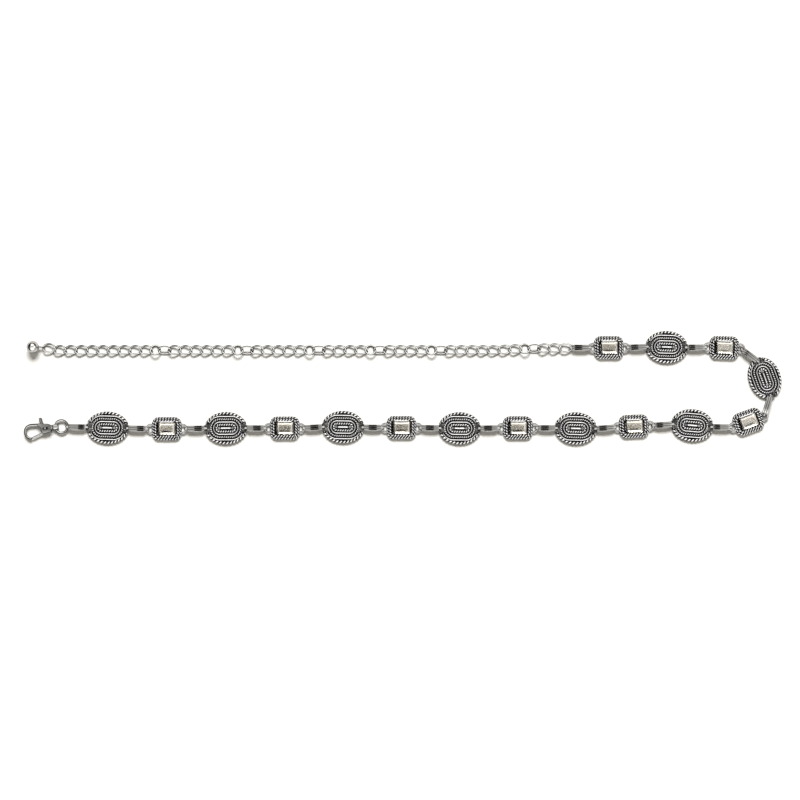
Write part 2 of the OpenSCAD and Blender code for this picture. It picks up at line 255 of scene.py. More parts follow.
def rope(sh, dense, closed, hw, z_top, rise, z_out, z_in, strokes, lean, depth, m=11, per=8, phase=0.0, wear_gain=1.0, white=0.5, dark_in=None):
    """Raised border of twisted strokes, leaning by lean of a stroke across half the width."""
    path, s, total = resample(dense, strokes * per + (0 if closed else 1), closed)
    nrm = right_normals(path, closed)
    phi = np.radians(np.linspace(90, -90, m))
    v = np.sin(phi)
    u = s[:, None] / total * strokes + lean * v[None, :] + phase
    f = np.abs(2 * (u - np.floor(u)) - 1)
    h = np.clip(1 - f ** 1.7, 0, 1) ** 0.7
    fade = 0.55 + 0.45 * np.cos(phi)[None, :]
    cut = depth * (1 - h) * fade
    if not closed:
        end = np.minimum(s, total - s)[:, None]
        cut = cut + depth * 1.6 * (1 - smooth(end, 0, 0.5 * hw)) * fade
    off = hw * v[None, :] - cut * np.sin(phi)[None, :]
    z = z_top - rise + rise * np.cos(phi)[None, :] - cut * np.cos(phi)[None, :]
    n = len(path)
    rows = np.empty((n, m + 2, 3))
    offs = np.concatenate([np.full((n, 1), hw - 0.15), off, np.full((n, 1), -hw + 0.1)], 1)
    rows[:, :, :2] = path[:, None, :] + nrm[:, None, :] * offs[:, :, None]
    rows[:, :, 2] = np.concatenate([np.full((n, 1), z_out), z, np.full((n, 1), z_in)], 1)
    w = (1 - smooth(f, white - 0.12, white + 0.16)) * (0.35 + 0.65 * smooth(np.cos(phi)[None, :], 0.05, 0.6)) * wear_gain
    if dark_in is not None:
        w = w * smooth(v, dark_in - 0.3, dark_in)[None, :]
    w = np.concatenate([np.full((n, 1), 0.15), w, np.zeros((n, 1))], 1)
    sh.loft(rows, closed, w)


def wire_side_shade(seg, lo=0.85, hi=0.98, floor=0.03, turn=0.0, under=0.42):
    """Painted shade round a wire's section: polished on top, a dark band painted down its sides as a painted reflection
    of a dark room, turned by turn so one side's band is wider, greyer underneath.
    """
    a = 2 * np.pi * np.arange(seg) / seg
    return floor + (1 - floor) * smooth(np.sin(a - math.radians(turn)), lo, hi) + under * smooth(-np.sin(a), 0.15, 0.6)


def tube(sh, path, radius, closed=False, seg=12, up=(0, 0, 1), wear_and_shade=None, flat=None, mat=0, power=1.0):
    """Round or oval wire along a 3-D path; flat = radius along up."""
    # by default the wire's sides are painted dark: painted reflection of a dark room
    wear_and_shade = wire_side_shade(seg) if wear_and_shade is None else wear_and_shade
    p = np.asarray(path, float)
    nx, pv = np.roll(p, -1, 0), np.roll(p, 1, 0)
    if not closed:
        nx[-1], pv[0] = p[-1], p[0]
    t = nx - pv
    t /= np.linalg.norm(t, axis=1)[:, None]
    up = np.broadcast_to(np.asarray(up, float), p.shape)
    b = np.cross(t, up)
    b /= np.linalg.norm(b, axis=1)[:, None]
    n = np.cross(b, t)
    a = 2 * np.pi * np.arange(seg) / seg
    ca = np.sign(np.cos(a)) * np.abs(np.cos(a)) ** power
    sa = np.sign(np.sin(a)) * np.abs(np.sin(a)) ** power
    r1 = np.broadcast_to(np.asarray(radius, float), (len(p),))
    r2 = r1 if flat is None else np.broadcast_to(np.asarray(flat, float), (len(p),))
    rows = p[:, None, :] + b[:, None, :] * (r1[:, None] * ca)[:, :, None] + n[:, None, :] * (r2[:, None] * sa)[:, :, None]
    sh.loft(rows, closed, np.broadcast_to(wear_and_shade, rows.shape[:2]), mat)


def round_off(poly, it=2):
    """Chaikin corner cutting of a closed outline."""
    p = np.asarray(poly, float)
    for _ in range(it):
        nx = np.roll(p, -1, 0)
        p = np.stack([0.78 * p + 0.22 * nx, 0.22 * p + 0.78 * nx], 1).reshape(-1, 2)
    return p


def fillet(poly, r, n=6):
    """Closed outline with its corners rounded by about r, less where an edge is short."""
    p, out = ccw(poly), []
    for a, b, c in zip(np.roll(p, 1, 0), p, np.roll(p, -1, 0)):
        u, v = a - b, c - b
        lu, lv = np.linalg.norm(u), np.linalg.norm(v)
        half = 0.5 * math.acos(max(-1.0, min(1.0, float(u @ v) / lu / lv)))
        t = min(r / math.tan(half), 0.45 * lu, 0.45 * lv)
        for q in np.linspace(0, 1, n):
            out.append((1 - q) ** 2 * (b + u / lu * t) + 2 * q * (1 - q) * b + q * q * (b + v / lv * t))
    return np.array(out)


def inset(p, d):
    n = right_normals(p, True)  # outward for a counter-clockwise outline
    return p - n * d


def ccw(p):
    p = np.asarray(p, float)
    x, y = p[:, 0], p[:, 1]
    return p if np.sum(x * np.roll(y, -1) - np.roll(x, -1) * y) > 0 else p[::-1]


def pillow(sh, outline, z0, z1, r0, r1, hole=None, wear_and_shade=1.0, mat=0, steps=4, edge=None, back=None):
    """Flat piece with rounded lower (r0) and upper (r1) edges, and a hole if given. Both outlines are closed loops."""
    o = ccw(outline)
    levels = []
    if r0 > 0:
        levels = [(z0 + r0 * (1 - math.cos(a)), r0 * (1 - math.sin(a)), 1) for a in np.linspace(0, math.pi / 2, steps + 1)]
    else:
        levels = [(z0, 0.0, 1)]
    if r1 > 0:
        levels += [(z1 - r1 * (1 - math.sin(a)), r1 * (1 - math.cos(a)), 1) for a in np.linspace(0, math.pi / 2, steps + 1)]
    else:
        levels += [(z1, 0.0, 1)]
    loops = []
    for z, d, _ in levels:
        q = inset(o, d)
        loops.append(np.column_stack([q, np.full(len(q), z)]))
    rows = np.stack(loops)
    n, m = rows.shape[:2]
    idx = np.arange(n * m).reshape(n, m)
    a, b = idx[:-1], idx[1:]
    quads = [np.stack([a, np.roll(a, -1, 1), np.roll(b, -1, 1), b], -1).reshape(-1, 4)]
    v = [rows.reshape(-1, 3)]
    tris = []
    if hole is not None:
        h = ccw(hole)
        e = min(0.12, (z1 - z0) / 4)
        hl = [(z0, -e), (z0 + e, 0), (z1 - e, 0), (z1, -e)]
        hv = np.stack([np.column_stack([inset(h, d), np.full(len(h), z)]) for z, d in hl])
        base = n * m
        hidx = base + np.arange(4 * len(h)).reshape(4, len(h))
        ha, hb = hidx[:-1], hidx[1:]
        quads.append(np.stack([ha, hb, np.roll(hb, -1, 1), np.roll(ha, -1, 1)], -1).reshape(-1, 4))
        v.append(hv.reshape(-1, 3))
    for which, ring, hr in ((0, idx[0], None if hole is None else hidx[0]), (1, idx[-1], None if hole is None else hidx[-1])):
        allv = np.vstack(v)
        ids = list(ring)
        loopsv = [[Vector((allv[i][0], allv[i][1], 0)) for i in ring]]
        if hr is not None:
            ids += list(hr)
            loopsv.append([Vector((allv[i][0], allv[i][1], 0)) for i in hr])
        tt = tessellate_polygon(loopsv)
        tris += [[ids[a_], ids[b_], ids[c_]] for a_, b_, c_ in tt]
    # edge paints the walls this tone up into the rounded top; the clasp pieces use 0.0, painted shade for their dark
    # outlines
    if edge is not None:
        wall_shade = np.full(n, edge)
        if r1 > 0:
            wall_shade[-steps - 1:] = edge + (wear_and_shade - edge) * smooth(np.linspace(0, 1, steps + 1), 0.35, 1.0)
        wear_and_shade = np.r_[np.repeat(wall_shade, m), np.full(sum(len(x) for x in v) - n * m, edge)]
    if back is not None:
        wear_and_shade = np.array(np.broadcast_to(wear_and_shade, (sum(len(x) for x in v),)), float)
        wear_and_shade[:m] = back
    sh.add(np.vstack(v), np.vstack(quads), tris, wear_and_shade, mat)


def ring_plate(sh, outer, inner, z0, z1, e=0.18, wear_top=0.5, painted_edge_tone=1.0, mat=0):
    """Flat ring between two loops with the same number of points, with softened edges."""
    oo, ii = np.asarray(outer, float), np.asarray(inner, float)
    no, ni = right_normals(oo, True), right_normals(ii, True)
    secs = [(oo - no * e, z0, 0.2), (oo, z0 + e, 0.5), (oo, z1 - e, painted_edge_tone), (oo - no * e * 0.35, z1 - e * 0.3, painted_edge_tone), (oo - no * e, z1, painted_edge_tone),
            (oo - no * e * 2.2, z1, wear_top), (ii + ni * e * 2.0, z1, wear_top), (ii + ni * e, z1, painted_edge_tone * 0.8), (ii, z1 - e, 0.3), (ii, z0 + e, 0.1), (ii + ni * e, z0, 0.1)]
    rows = np.stack([np.column_stack([p, np.full(len(p), z)]) for p, z, _ in secs], 1)
    w = np.broadcast_to(np.array([s[2] for s in secs]), rows.shape[:2])
    sh.loft(rows, True, w, mat)


# ---------------------------------------------------------------- materials
def tree(name):
    m = bpy.data.materials.new(name)
    m.use_nodes = True
    t = m.node_tree
    bsdf = next(n for n in t.nodes if n.type == "BSDF_PRINCIPLED")
    co = t.nodes.new("ShaderNodeTexCoord")
    return m, t, bsdf, co.outputs["Object"]


def noise(t, co, scale, detail=3.0, rough=0.55):
    n = t.nodes.new("ShaderNodeTexNoise")
    n.inputs["Scale"].default_value = scale
    n.inputs["Detail"].default_value = detail
    n.inputs["Roughness"].default_value = rough
    t.links.new(co, n.inputs["Vector"])
    return n.outputs["Fac"]


def ramp(t, fac, *stops):
    r = t.nodes.new("ShaderNodeValToRGB")
    e = r.color_ramp.elements
    while len(e) < len(stops):
        e.new(0.5)
    for k, (p, c) in enumerate(stops):
        e[k].position = p
        e[k].color = (c, c, c, 1) if isinstance(c, (int, float)) else (*c, 1)
    t.links.new(fac, r.inputs["Fac"])
    return r.outputs["Color"]


def calc(t, op, a, b=0.0, clamp=False):
    n = t.nodes.new("ShaderNodeMath")
    n.operation = op
    n.use_clamp = clamp
    for k, x in enumerate((a, b)):
        if isinstance(x, (int, float)):
            n.inputs[k].default_value = x
        else:
            t.links.new(x, n.inputs[k])
    return n.outputs[0]


def mix(t, fac, a, b):
    n = t.nodes.new("ShaderNodeMix")
    n.data_type = "RGBA"
    t.links.new(fac, n.inputs[0])
    for k, x in ((6, a), (7, b)):
        if isinstance(x, tuple):
            n.inputs[k].default_value = (*x, 1)
        else:
            t.links.new(x, n.inputs[k])
    return n.outputs[2]


def bump(t, bsdf, height, strength, dist):
    b = t.nodes.new("ShaderNodeBump")
    b.inputs["Strength"].default_value = strength
    b.inputs["Distance"].default_value = dist
    t.links.new(height, b.inputs["Height"])
    t.links.new(b.outputs["Normal"], bsdf.inputs["Normal"])


def wear_and_shade_of(t):
    a = t.nodes.new("ShaderNodeAttribute")
    a.attribute_type = "GEOMETRY"
    a.attribute_name = "wear_and_shade"
    return a.outputs["Fac"]


def antique_silver():
    """Plated cast metal: polished crests, blackened recesses, a mottled edge between them."""
    m, t, bsdf, co = tree("antique_silver")
    bsdf.inputs["Specular IOR Level"].default_value = 0.15
    fine, wide = noise(t, co, 2600, 4), noise(t, co, 260, 2)
    blot = calc(t, "MULTIPLY", calc(t, "SUBTRACT", fine, 0.5), 0.55)
    blot = calc(t, "ADD", blot, calc(t, "MULTIPLY", calc(t, "SUBTRACT", wide, 0.5), 0.35))
    # here the attribute is real patina in the recesses, and also painted shade on the setting lugs' edges and a painted
    # highlight on one long side of the setting's pocket lip
    w = calc(t, "ADD", wear_and_shade_of(t), blot, True)
    tint = mix(t, ramp(t, wide, (0.35, 0.0), (0.65, 1.0)), (0.62, 0.62, 0.634), (0.66, 0.651, 0.632))
    t.links.new(mix(t, ramp(t, w, (0.22, 0.0), (0.62, 1.0)), (0.007, 0.0065, 0.007), tint), bsdf.inputs["Base Color"])
    t.links.new(ramp(t, w, (0.2, 0.45), (0.55, 1.0)), bsdf.inputs["Metallic"])
    rough = calc(t, "ADD", ramp(t, w, (0.25, 0.55), (0.7, 0.2)), calc(t, "MULTIPLY", fine, 0.08))
    t.links.new(rough, bsdf.inputs["Roughness"])
    bump(t, bsdf, calc(t, "ADD", fine, calc(t, "MULTIPLY", wide, 0.5)), 0.25, 0.00006)
    return m


def bright_silver(name="bright_silver", colour=(0.54, 0.535, 0.52), dark=(0.05, 0.049, 0.046), rough=0.03):
    """Polished plating with faint haze and scuffs; where wear_and_shade is low it turns near-black and rougher, which
    on the wires' sides, strand shoulders and clasp edges is painted shade standing for the dark room they reflect.
    """
    m, t, bsdf, co = tree(name)
    fine, wide = noise(t, co, 1800, 5, 0.65), noise(t, co, 180, 3)
    w = calc(t, "ADD", wear_and_shade_of(t), calc(t, "MULTIPLY", calc(t, "SUBTRACT", wide, 0.5), 0.4), True)
    t.links.new(mix(t, ramp(t, w, (0.15, 0.0), (0.6, 1.0)), dark, colour), bsdf.inputs["Base Color"])
    bsdf.inputs["Metallic"].default_value = 1.0
    bsdf.inputs["Specular Tint"].default_value = (0.3, 0.3, 0.3, 1)
    r = calc(t, "ADD", ramp(t, fine, (0.45, rough), (0.8, rough + 0.1)), calc(t, "MULTIPLY", calc(t, "SUBTRACT", 1.0, w), 0.35))
    t.links.new(r, bsdf.inputs["Roughness"])
    bump(t, bsdf, fine, 0.05, 0.00002)
    return m


def glass():
    m, t, bsdf, co = tree("crystal_glass")
    n = noise(t, co, 120, 2)
    t.links.new(mix(t, n, (1.0, 0.99, 0.97), (0.99, 0.98, 0.955)), bsdf.inputs["Base Color"])
    bsdf.inputs["Transmission Weight"].default_value = 1.0
    bsdf.inputs["IOR"].default_value = 1.62
    t.links.new(ramp(t, noise(t, co, 900, 4), (0.6, 0.0), (0.9, 0.02)), bsdf.inputs["Roughness"])
    bump(t, bsdf, noise(t, co, 300, 2), 0.03, 0.00002)
    return m


def foil():
    m, t, bsdf, co = tree("crystal_foil")
    wide, fine = noise(t, co, 60, 2), noise(t, co, 1500, 3)
    bare_foil = mix(t, ramp(t, wide, (0.35, 0.0), (0.65, 1.0)), (0.52, 0.495, 0.45), (0.485, 0.465, 0.42))
    # where the attribute is 0 the foil is painted near-black: painted dark reflection on its -X steps and in a line
    # along its -Y side
    t.links.new(mix(t, wear_and_shade_of(t), (0.008, 0.008, 0.008), bare_foil), bsdf.inputs["Base Color"])
    bsdf.inputs["Metallic"].default_value = 0.9
    t.links.new(ramp(t, fine, (0.3, 0.24), (0.8, 0.30)), bsdf.inputs["Roughness"])
    bump(t, bsdf, fine, 0.02, 0.00003)
    return m


ANTIQUE, BRIGHT = antique_silver(), bright_silver()
CHAIN_MAT = bright_silver("chain_silver", (0.54, 0.535, 0.52), (0.04, 0.039, 0.036), 0.08)
CONNECTOR_MAT = bright_silver("connector_silver", (0.365, 0.36, 0.347), (0.03, 0.029, 0.027), 0.03)
POLISHED = bright_silver("clasp_silver", (0.42, 0.416, 0.406), (0.03, 0.029, 0.027), 0.04)
STEEL = bright_silver("rivet_steel", (0.45, 0.44, 0.43), (0.12, 0.12, 0.12), 0.22)
GLASS, FOIL = glass(), foil()


# ---------------------------------------------------------------- plaques
def lug_loops(c, neck, neck_half, n=64):
    """Outer and slot outlines of a D lug whose neck starts at x = neck, sampled round the slot's middle."""
    r = LUG_R - LUG_BAR
    inner = ccw(round_off([[c - 0.9, -r + 0.05], [c - 0.9, r - 0.05]] + [[c + r * math.cos(a), r * math.sin(a)] for a in np.linspace(math.pi / 2 - 0.1, -math.pi / 2 + 0.1, 17)], 1))
    outer = ccw([[neck, -neck_half], [neck, neck_half], [c - 0.2, LUG_R]] + [[c + LUG_R * math.cos(a), LUG_R * math.sin(a)] for a in np.linspace(math.pi / 2, -math.pi / 2, 33)] + [[c - 0.2, -LUG_R]])
    mid = np.array([c + 0.5, 0.0])

    def polar(loop):
        dense, _, _ = resample(loop, 1500, True)
        a = np.arctan2(dense[:, 1] - mid[1], dense[:, 0] - mid[0])
        o = np.argsort(a)
        t = np.linspace(-math.pi, math.pi, n, endpoint=False)
        d = np.linalg.norm(dense - mid, axis=1)
        rad = np.interp(t, a[o], d[o], period=2 * math.pi)
        return mid + rad[:, None] * np.stack([np.cos(t), np.sin(t)], 1)

    return polar(outer), polar(inner)


def mirrored(sh, part):
    sh.merge(part)
    sh.merge(part, 180)


def oval_shells():
    sh = Shells()
    a, b = OVAL_L / 2, OVAL_W / 2
    # rope border, an arc above and one below the lugs
    t0 = math.degrees(math.asin(2.95 / (b - ROPE_W / 2)))
    for half in (0, 180):
        path = ellipse_path(a - ROPE_W / 2, b - ROPE_W / 2, t0 + half, 180 - t0 + half)
        rope(sh, path, False, ROPE_W / 2, ROPE_TOP, 1.0, 0.0, 1.5, 13, 0.3, 0.72, m=17, per=12, phase=0.5, white=0.44, dark_in=-0.3)
    # foot of the border all round, and the plate with its hollow back
    t = np.radians(np.arange(0, 360, 3.0))

    def ring(d, z):
        return np.column_stack([(a - d) * np.cos(t), (b - d) * np.sin(t), np.full(len(t), z)])

    secs = [ring(0.3, 0.0), ring(0.16, 0.25), ring(0.16, 1.1), ring(0.9, 1.5), ring(2.0, 1.5), ring(2.1, 1.25), ring(2.1, 0.15), ring(1.9, 0.0)]
    rows = np.stack(secs, 1)
    gap = (np.abs(rows[:, :, 1]) < 3.1) & (np.abs(rows[:, :, 0]) > 9)
    keep = ~gap.any(1)
    for r_ in ([i for i in range(len(t)) if keep[i] and rows[i, 0, 1] > 0], [i for i in range(len(t)) if keep[i] and rows[i, 0, 1] < 0]):
        sh.loft(rows[r_], False, np.broadcast_to(np.array([0.55, 0.45, 0.3, 0.1, 0.0, 0.4, 0.4, 0.55]), (len(r_), 8)))
    # plate: flat dark ground between the rings, clear of the lugs at its ends
    outline = []
    for ang in np.radians(np.arange(0, 360, 4.0)):
        x, y = (a - 1.6) * math.cos(ang), (b - 1.6) * math.sin(ang)
        if abs(y) < 3.3 and abs(x) > 10.95:
            x = math.copysign(10.95, x)
        outline.append([x, y])
    pillow(sh, outline, 1.22, 1.8, 0, 0, wear_and_shade=0.02, back=0.6)
    # rings and centre bar
    for r, hw, z_top, kind, strokes in ((8.4, 0.42, 2.45, "plain", 0), (6.4, 0.66, 2.5, "rope", 37), (4.4, 0.42, 2.6, "plain", 0), (2.45, 0.78, 2.65, "rope", 19)):
        dense = stadium_path(RING_S, r)
        if kind == "rope":
            rope(sh, dense, True, hw, z_top, 0.6, 1.7, 1.7, strokes, 0.25, 0.5, m=9, per=10, white=0.42)
        elif r > 8:
            for side in (1, -1):
                arc = dense[(dense[:, 1] * side > 3.9) | ((np.abs(dense[:, 0]) < 10.6) & (dense[:, 1] * side > 0))]
                arc = arc[np.argsort(arc[:, 0])] * np.array([1, 1]) if side < 0 else arc[np.argsort(-arc[:, 0])]
                arc, _, _ = resample(arc, 72, False)
                half_round(sh, arc, False, hw, z_top, 0.55, 1.7, 1.7)
        else:
            path, _, _ = resample(dense, 96, True)
            half_round(sh, path, True, hw, z_top, 0.55, 1.7, 1.7)
    for side in (1, -1):
        pillow(sh, ellipse_path(0.95, 0.95, n=20) + np.array([side * (RING_S + 0.6), 0.0]), 1.7, 2.0, 0, 0.25, wear_and_shade=0.36)
    bar, _, _ = resample(stadium_path(3.2, 0.58, 60), 40, True)
    pillow(sh, bar, 1.7, 2.8, 0, 0.4, wear_and_shade=1.0)
    # flat end tabs with their slots and a faint hatch
    lug, c, e = Shells(), oval_lug, oval_lug + LUG_R
    edge = [[c - 1.55, -TAB_IN], [c - 0.5, -TAB_IN], [e - 0.3, -TAB_OUT], [e, -TAB_OUT + 0.5], [e, TAB_OUT - 0.5], [e - 0.3, TAB_OUT], [c - 0.5, TAB_IN], [c - 1.55, TAB_IN]]
    slot_edge = [[c - 0.75, -TAB_SLOT], [e - LUG_BAR, -TAB_SLOT], [e - LUG_BAR, TAB_SLOT], [c - 0.75, TAB_SLOT]]
    outline, _, _ = resample(round_off(edge, 1), 120, True)
    hole, _, _ = resample(round_off(slot_edge, 1), 60, True)
    pillow(lug, outline, LUG_Z, LUG_Z + LUG_T, 0.12, 0.2, hole, wear_and_shade=0.24)
    for y, n_cut in ((-2.45, 4), (2.45, 4)):
        for g in range(n_cut):
            x = c - 0.75 + 0.75 * g
            half = 0.75 - 0.13 * g
            q = np.array([[x - 0.22 * half, y * (1 - 0.06 * g) - half], [x + 0.22 * half, y * (1 - 0.06 * g) + half]])
            path = np.column_stack([np.linspace(q[0, 0], q[1, 0], 6), np.linspace(q[0, 1], q[1, 1], 6), np.full(6, LUG_Z + LUG_T - 0.02)])
            tube(lug, path, 0.13, seg=8, flat=0.16, wear_and_shade=0.42)
    mirrored(sh, lug)
    return sh


def setting_shells():
    sh = Shells()
    # body: wall, ground under the ropes, pocket and hollow back
    out_z = [(0.15, 0.0, 0.55), (0.0, 0.2, 0.5), (0.0, 1.2, 0.45), (0.25, 1.75, 0.2), (1.7, 1.95, 0.02), (3.0, 2.35, 0.02), (3.35, 2.75, 0.12), (3.6, 2.8, 0.2), (3.8, 2.7, 0.05)]
    n = 120
    secs, ws = [], []
    for d, z, w in out_z:
        p, _, _ = resample(rounded_path(SET_L - 2 * d, SET_W - 2 * d, max(SET_R - d, 0.7)), n, True)
        secs.append(np.column_stack([p, np.full(n, z)]))
        ws.append(w)
    pocket, _, _ = resample(rounded_path(STONE_L + 0.55, STONE_W + 0.45, 0.55), n, True)
    inner, _, _ = resample(rounded_path(SET_L - 4.4, SET_W - 4.4, SET_R - 2.2), n, True)
    # the sections must start at the same place round the loop
    def aligned(p):
        k = int(np.argmin(np.abs(np.arctan2(p[:, 1], p[:, 0]))))
        return np.roll(p, -k, 0)
    secs = [aligned(s) for s in secs]
    for p, z, w in ((pocket, 2.8, 0.1), (pocket, 1.32, 0.0)):
        q = aligned(p)
        secs.append(np.column_stack([q, np.full(n, z)]))
        ws.append(w)
    rows = np.stack(secs, 0)
    m = rows.shape[0]
    # painted highlight: the pocket lip along the middle of the +Y long side is made lighter than the rest, as if lit
    # from that side
    painted_lit_side = (rows[:, :, 1] > 3.5) * (1 - smooth(np.abs(rows[:, :, 0]), 4.2, 5.4))
    idx = np.arange(m * n).reshape(m, n)
    quads = np.stack([idx[:-1], np.roll(idx[:-1], -1, 1), np.roll(idx[1:], -1, 1), idx[1:]], -1).reshape(-1, 4)
    v = rows.reshape(-1, 3)
    ws = np.array(ws)[:, None] + np.array([0, 0, 0, 0, 0, 0, 0.6, 0.7, 0.8, 0.75, 0.0])[:, None] * painted_lit_side
    w = ws.reshape(-1)
    # pocket floor, then the back: foot ring, hollow wall, hollow roof
    q = aligned(inner)
    back = np.stack([np.column_stack([aligned(inner) * 1.0, np.full(n, z)]) for z in (0.0, 0.8)])
    v = np.vstack([v, back.reshape(-1, 3), [[0, 0, 1.32], [0, 0, 0.8]]])
    w = np.append(w, [0.55] * n + [0.55] * n + [0.0, 0.55])
    bi = m * n + np.arange(2 * n).reshape(2, n)
    j = np.arange(n)
    extra = np.vstack([np.stack([idx[0], bi[0], np.roll(bi[0], -1), np.roll(idx[0], -1)], 1),
                       np.stack([bi[0], bi[1], np.roll(bi[1], -1), np.roll(bi[0], -1)], 1)])
    top_c, back_c = m * n + 2 * n, m * n + 2 * n + 1
    tris = np.vstack([np.stack([idx[-1], np.roll(idx[-1], -1), np.full(n, top_c)], 1), np.stack([np.roll(bi[1], -1), bi[1], np.full(n, back_c)], 1)])
    sh.add(v, np.vstack([quads, extra]), tris, w)
    # two rope rows, laid opposite ways
    for d, hw, z_top, zb, strokes, lean, phase in ((0.85, 0.8, 2.5, 1.5, 30, 0.3, 0.0), (2.55, 0.92, 3.05, 1.9, 25, 0.3, 0.385)):
        dense = rounded_path(SET_L - 2 * d, SET_W - 2 * d, SET_R - d)
        rope(sh, dense, True, hw, z_top, 0.75, zb, zb, strokes, lean, 0.8, m=11, per=12, phase=phase, white=0.37)
    lug = Shells()
    o, i = lug_loops(set_lug, SET_L / 2 - 0.6, 3.3)
    # the lugs' outer edges are painted near-black (0.12) under a lighter top: painted shade for their dark outlines
    ring_plate(lug, o, i, LUG_Z, LUG_Z + LUG_T, wear_top=0.7, painted_edge_tone=0.12)
    mirrored(sh, lug)
    return sh


def stone_shells():
    """Step-cut glass with a flat table and two crown steps, and the metal foil behind its back."""
    sh = Shells()

    def level(right, low, left, high, e):
        """One eight-cornered section; each side has its inset from the girdle and its height."""
        hx, hy = STONE_L / 2, STONE_W / 2
        xr, xl, yl, yh = hx - right[0], -hx + left[0], -hy + low[0], hy - high[0]
        return np.array([[xr - e, yl, low[1]], [xr, yl + e, right[1]], [xr, yh - e, right[1]], [xr - e, yh, high[1]],
                         [xl + e, yh, high[1]], [xl, yh - e, left[1]], [xl, yl + e, left[1]], [xl + e, yl, low[1]]])

    def even(d, z, e):
        return level((d, z), (d, z), (d, z), (d, z), e)

    # back: steep steps towards -X, a nearly flat floor elsewhere; the glass lies 0.1 mm over the foil
    back = [((0.16, 1.40), (0.16, 1.40), (2.1, 1.40), (2.8, 1.40)), ((0.12, 1.48), (0.12, 1.48), (0.95, 1.68), (0.5, 1.52)), ((0.0, 2.1), (0.0, 2.1), (0.0, 2.1), (0.0, 2.1))]
    glass_rows = [level(*[(d, z + 0.1) for d, z in row], 0.25) for row in back]
    glass_rows += [even(0.0, 2.42, 0.35), even(0.75, 2.98, 0.35), even(1.9, 3.49, 0.25), even(1.96, 3.5, 0.25)]
    sh.loft(np.stack(glass_rows)[::-1], False, 1.0, 0)
    # the foil's visible face is painted black along the steep -X steps and in a line along the -Y side: painted dark
    # reflection of the room in the stone's bevels
    line = [((3.6, 1.40), (3.2, 1.40), (3.8, 1.40), (4.0, 1.40)), ((3.3, 1.40), (2.45, 1.40), (3.0, 1.40), (3.6, 1.40)), ((2.6, 1.40), (1.65, 1.40), (2.5, 1.40), (3.2, 1.40))]
    painted_reflection_line = [[1] * 8, [0, 1, 1, 1, 1, 1, 1, 0], [1] * 8]
    painted_reflection_side = [[1, 1, 1, 1, 1, 1, 0.3, 1], [1, 1, 1, 1, 0.8, 0.5, 0, 0], [1, 1, 1, 1, 0.8, 0.4, 0, 0]]
    foil_rows = [level(*row, 0.25) for row in back] + [level(*[(d, z + 0.05) for d, z in row], 0.25) for row in back[::-1] + line[::-1]]
    sh.loft(np.stack(foil_rows), False, np.array([[1] * 8] * 3 + painted_reflection_side[::-1] + painted_reflection_line), 1)
    return sh


def at(sh_local, pos, turn):
    out = Shells()
    out.merge(sh_local, turn, (pos[0] + SHIFT[0], pos[1] + SHIFT[1], 0))
    return out


oval_local, setting_local, stone_local = oval_shells(), setting_shells(), stone_shells()
for i, (ox, oy, ot, sx, sy, st) in enumerate(PAIRS):
    at(oval_local, (ox, oy), ot).build("oval_plaque_%d" % (i + 1), [ANTIQUE], ROOT, ["oval_%d" % (i + 1)], "antique_silver")
    # upper-row settings and stones are turned half round (their shapes are symmetric) so their painted highlight and
    # painted dark reflection face the same way as in the lower row
    at(setting_local, (sx, sy), st - 180 if st > 90 else st).build("crystal_setting_%d" % (i + 1), [ANTIQUE], ROOT, ["setting_%d" % (i + 1)], "antique_silver")
    at(stone_local, (sx, sy), st - 180 if st > 90 else st).build("step_cut_crystal_%d" % (i + 1), [GLASS, FOIL], ROOT, ["stone_%d" % (i + 1)], "crystal", sharp=4)


# ---------------------------------------------------------------- connectors
def strand_section():
    """Section of one strand, half width 1: nearly flat top, rounded shoulders painted dark, flat underside; the lowest
    strand's -Y shoulder is painted light instead: painted shade and painted highlight.
    """
    r, h = 0.2, BAND_T / 2
    top = [(y, h - 0.003 * (y / (1 - r)) ** 2, 1.0) for y in np.linspace(-1 + r, 1 - r, 9)]
    # shoulders painted dark: painted shade between the strands
    turn = [(1 - r + r * math.sin(g), h - 0.003 - 0.2 * (1 - math.cos(g)), w) for g, w in zip(np.radians([8, 30, 52, 74, 90]), (0.4, 0.0, 0.0, 0.0, 0.0))]
    low = [(0.97, -h + 0.08, 0.0), (0.8, -h, 0.8), (-0.8, -h, 0.8), (-0.97, -h + 0.08, 0.0)]
    pts = top + turn + low + [(-y, z, w) for y, z, w in turn[::-1]]
    wear_and_shade = np.array([w for _, _, w in pts])
    painted_lit_edge = wear_and_shade.copy()
    # painted highlight on the -Y shoulder, used for the lowest strand only
    painted_lit_edge[-len(turn):] = (0.1, 0.5, 0.9, 1.0, 1.0)
    return np.array([[0, y, z] for y, z, w in pts]), {-1: painted_lit_edge, 0: wear_and_shade, 1: wear_and_shade}


SECTION, SECTION_WEAR_AND_SHADE = strand_section()


